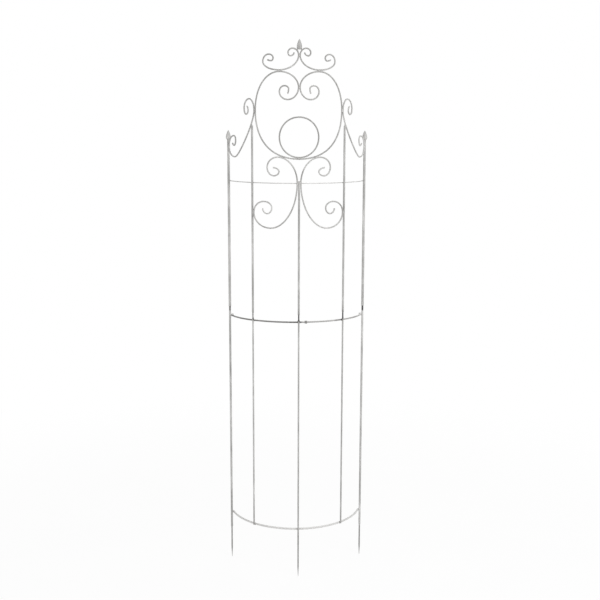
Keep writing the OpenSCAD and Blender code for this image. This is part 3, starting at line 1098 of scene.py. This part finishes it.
# How bare the necks and the welds at their feet are, and the ends of the two tubes that are rubbed most
NECK_WEAR = {"left_outer": 0.52, "left_inner": 0.48, "right_outer": 0.58}
PLAIN_NECK_WEAR = 0.9
SADDLE_WEAR = 0.7
MOUTH_WEAR = {"centre": 0.42, "right_inner": 0.46}
MOUTH_DULL = 0.5
MOUTH_REACH = 35 * MM
RIM_WEAR = 0.5
RIM_REACH = 3 * MM
END_REACH = 3 * MM
END_WEAR = 0.5
NECK_FADE = (Z_MIDDLE + 3 * MM, Z_MIDDLE + 6 * MM)
# The middle hoop's left length: rubbed towards the centre upright, and paler past it
HOOP_WEAR = 0.49
HOOP_WEAR_FADE = (-80 * MM, -38 * MM)
HOOP_PALER = 0.65
HOOP_PALER_FADE = (8 * MM, 16 * MM)
CENTRE_SPIKE_DULL = 0.3
CENTRE_SPIKE_FADE = 40 * MM
# How far from a mark, in reaches, it is still reckoned
MARK_ROOM = 3
# How far some of the marks lie from what they are by
HOOP_MARK_OFFSET = 15 * MM
TUBE_TOP_DROP = 8 * MM
TUBE_TOUCH_DROP = 15 * MM
LYRE_MARK_RISE = 28 * MM


def eased(value, low, high):
    t = np.clip((value - low) / (high - low), 0, 1)
    return t * t * (3 - 2 * t)


def marked(places, marks):
    """How strong each mark is at each place: full at its own, and fading to none past its reach."""
    low = places.min(axis=0)
    high = places.max(axis=0)
    rows = [np.zeros(len(places))]
    for at, reach, amount in marks:
        middle_of_mark = np.array(at)
        room = MARK_ROOM * reach
        if np.all(middle_of_mark > low - room) and np.all(middle_of_mark < high + room):
            offsets = places - middle_of_mark
            rows.append(amount * np.exp(-(offsets**2).sum(axis=1) / reach**2))
    return np.array(rows)


def end_marks():
    """The ends of the scrolls, where the paint is rubbed."""
    marks = []
    for route in ROUTES.values():
        for sign in SIDES.values():
            for at, _ in (sided(route, sign)[0], sided(route, sign)[-1]):
                marks.append((on_plan(at.x, at.y), END_REACH, END_WEAR))
    return marks


def tone_and_painted_light_marks():
    """Places, how far each reaches and how much duller, or below 0 paler, the paint is there; some paler
    marks are painted light.
    """
    by_right_inner = plan_angle(upright_xy["right_inner"]) - HOOP_MARK_OFFSET / ARC_R
    left_tube = upright_xy["left_outer"].to_3d()
    left_top = left_tube + (highest("upper_upright_left_outer") - TUBE_TOP_DROP) * UP
    painted_light_at_left_touch = left_tube + (SIDE_LOW_Z + SIDE_CUP_H - TUBE_TOUCH_DROP) * UP
    marks = [
        # Paler spots at the hoop ends beside the outer uprights: painted light, lifting the shade that
        # the uprights cast on the ends and their weld lumps
        (hoop_at("bottom_hoop", HOOP_END), 14 * MM, -0.5),
        (hoop_at("middle_hoop_left", -HOOP_END), 20 * MM, -0.5),
        (hoop_at("middle_hoop_right", HOOP_END), 14 * MM, -0.5),
        (hoop_at("middle_hoop_right", by_right_inner), 14 * MM, 0.4),
        (left_top, 12 * MM, 0.3),
        # Paler patch low on the left outer tube where the side scroll touches it: painted light, lifting
        # the shade between tube and scroll
        (painted_light_at_left_touch, 35 * MM, -0.4),
    ]
    for sign in SIDES.values():
        marks.append((on_plan(sign * INNER_TOUCH, LYRE_KISS_Z + LYRE_MARK_RISE), 15 * MM, 0.5))
    return marks


def upright_place(name, start):
    """The upright that a piece's name tells after its start, or None."""
    places = [place for place in PLACES if name.startswith(start + place)]
    return places[0] if places else None


def weather_and_painted_light(piece, tone_and_painted_light_spots, rubbed_ends):
    """Writes how dull, dirty and rubbed each place of a piece is; the dullness also carries painted
    light.
    """
    name = piece.name
    mesh = piece.data
    places = np.empty(3 * len(mesh.vertices))
    mesh.vertices.foreach_get("co", places)
    places = places.reshape(-1, 3)
    height = places[:, 2]
    tones = [tone for start, tone in TONES.items() if name.startswith(start)]
    tone = (tones[0] if tones else PLAIN_TONE) + marked(places, tone_and_painted_light_spots).sum(axis=0)
    grime = marked(places, dirt_marks).max(axis=0)
    wear = marked(places, rubbed_ends).max(axis=0)
    if name.startswith("welds"):
        grime = DIRT_ON_WELDS * grime
    if name.startswith("middle_hoop_left"):
        across = places[:, 0]
        paler = eased(across, *HOOP_PALER_FADE)
        tone = tone - HOOP_PALER * paler
        wear = np.maximum(wear, HOOP_WEAR * eased(across, *HOOP_WEAR_FADE) * (1 - paler))
    if name.startswith("lower_upright_centre"):
        on_spike = eased(-height, -Z_OUTER_FOOT - CENTRE_SPIKE_FADE, -Z_OUTER_FOOT)
        tone = tone + CENTRE_SPIKE_DULL * on_spike
    neck = upright_place(name, "lower_upright_")
    if neck:
        bare = NECK_WEAR.get(neck, PLAIN_NECK_WEAR)
        wear = np.maximum(wear, bare * eased(height, *NECK_FADE))
    saddle = upright_place(name, "welds_neck_")
    if saddle:
        wear = np.maximum(wear, SADDLE_WEAR)
    tube = upright_place(name, "upper_upright_")
    if tube:
        wear = np.maximum(wear, RIM_WEAR * eased(-height, -Z_MOUTH - RIM_REACH, -Z_MOUTH))
    if tube in MOUTH_WEAR:
        rubbed = eased(-height, -Z_MOUTH - MOUTH_REACH, -Z_MOUTH)
        tone = tone + MOUTH_DULL * rubbed
        wear = np.maximum(wear, MOUTH_WEAR[tube] * rubbed)
    for kind, values in (("tone", tone), ("grime", grime), ("wear", wear)):
        mesh.attributes.new(kind, "FLOAT", "POINT").data.foreach_set("value", values)


tone_and_painted_light_spots = tone_and_painted_light_marks()
rubbed_ends = end_marks()
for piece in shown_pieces():
    weather_and_painted_light(piece, tone_and_painted_light_spots, rubbed_ends)


# Floor, light and camera

FLOOR_REACH = 30
SHADOW_NEAR = 0.8
SHADOW_FAR = 2.6
SHADOW_WHITE = 0.9
WORLD_LIGHT = 0.38
WHITE = (1, 1, 1, 1)
FLOOR_DULL = (0.92, 0.92, 0.92, 1)
FLOOR_PALE = (0.95, 0.95, 0.95, 1)


def pale_floor():
    """A pale floor that the camera sees as white, with the object's shadow on it near by."""
    material, s = new_material("pale_floor")
    pale = s.mix(s.ramp(s.noise(3, 3), 0.3, 0.7), FLOOR_DULL, FLOOR_PALE)
    matt = s.add("ShaderNodeBsdfDiffuse", {"Color": pale}).outputs["BSDF"]
    white = s.add("ShaderNodeEmission", {"Color": WHITE, "Strength": 1.0}).outputs["Emission"]
    distance = s.add("ShaderNodeVectorMath", {0: s.coords()}, operation="LENGTH").outputs["Value"]
    whiter = s.ramp(distance, SHADOW_NEAR, SHADOW_FAR, SHADOW_WHITE, 1.0)
    share = s.math("MULTIPLY", s.seen_ray(), whiter)
    both = s.add("ShaderNodeMixShader", {0: share, 1: matt, 2: white}).outputs["Shader"]
    s.add("ShaderNodeOutputMaterial", {"Surface": both})
    mesh = bpy.data.meshes.new("floor")
    corners = [(x * FLOOR_REACH, y * FLOOR_REACH, 0) for x, y in ((-1, -1), (1, -1), (1, 1), (-1, 1))]
    mesh.from_pydata(corners, [], [(0, 1, 2, 3)])
    mesh.materials.append(material)
    floor = bpy.data.objects.new("floor", mesh)
    bpy.context.scene.collection.objects.link(floor)


def studio_world():
    """Even light all round, which the camera and reflections see as white."""
    world = bpy.data.worlds.new("studio")
    world.use_nodes = True
    bpy.context.scene.world = world
    s = Shader(world.node_tree)
    strength = s.ramp(s.seen_ray(), 0.0, 1.0, WORLD_LIGHT, 1.0)
    light = s.add("ShaderNodeBackground", {"Color": WHITE, "Strength": strength})
    s.add("ShaderNodeOutputWorld", {"Surface": light.outputs["Background"]})


# Each lamp: its place, its size in metres and its power in watts
LAMPS = {
    "key_lamp": (Vector((2.4, -3.0, 3.4)), 2.4, 115),
    "fill_lamp": (Vector((-3.2, -2.2, 1.8)), 3.0, 38),
    "back_lamp": (Vector((0.6, 3.0, 3.4)), 3.0, 60),
}
LAMP_AIM = Vector((0, 0, 0.9))


def soft_lamp(name, place, size, power):
    data = bpy.data.lights.new(name, "AREA")
    data.size = size
    data.energy = power
    lamp = bpy.data.objects.new(name, data)
    bpy.context.scene.collection.objects.link(lamp)
    lamp.location = place
    lamp.rotation_euler = (LAMP_AIM - place).to_track_quat("-Z", "Y").to_euler()


CAMERA_PLACE = Vector((-0.158, -3.4175, 1.5886))
CAMERA_HEADING = 0.0487
CAMERA_PITCH = 0.1724
CAMERA_ROLL = 0.0029
FOCAL_PIXELS = 988.2
FRAME_PIXELS = 600
SENSOR = 36.0


def photo_camera():
    data = bpy.data.cameras.new("photo_camera")
    data.sensor_width = SENSOR
    data.lens = FOCAL_PIXELS / FRAME_PIXELS * SENSOR
    camera = bpy.data.objects.new("photo_camera", data)
    bpy.context.scene.collection.objects.link(camera)
    heading = Matrix.Rotation(-CAMERA_HEADING, 4, "Z")
    pitch = Matrix.Rotation(math.pi / 2 - CAMERA_PITCH, 4, "X")
    roll = Matrix.Rotation(CAMERA_ROLL, 4, "Z")
    camera.matrix_world = Matrix.Translation(CAMERA_PLACE) @ heading @ pitch @ roll
    bpy.context.scene.camera = camera


pale_floor()
studio_world()
for name, (place, size, power) in LAMPS.items():
    soft_lamp(name, place, size, power)
photo_camera()
bpy.context.scene.view_settings.view_transform = "Standard"
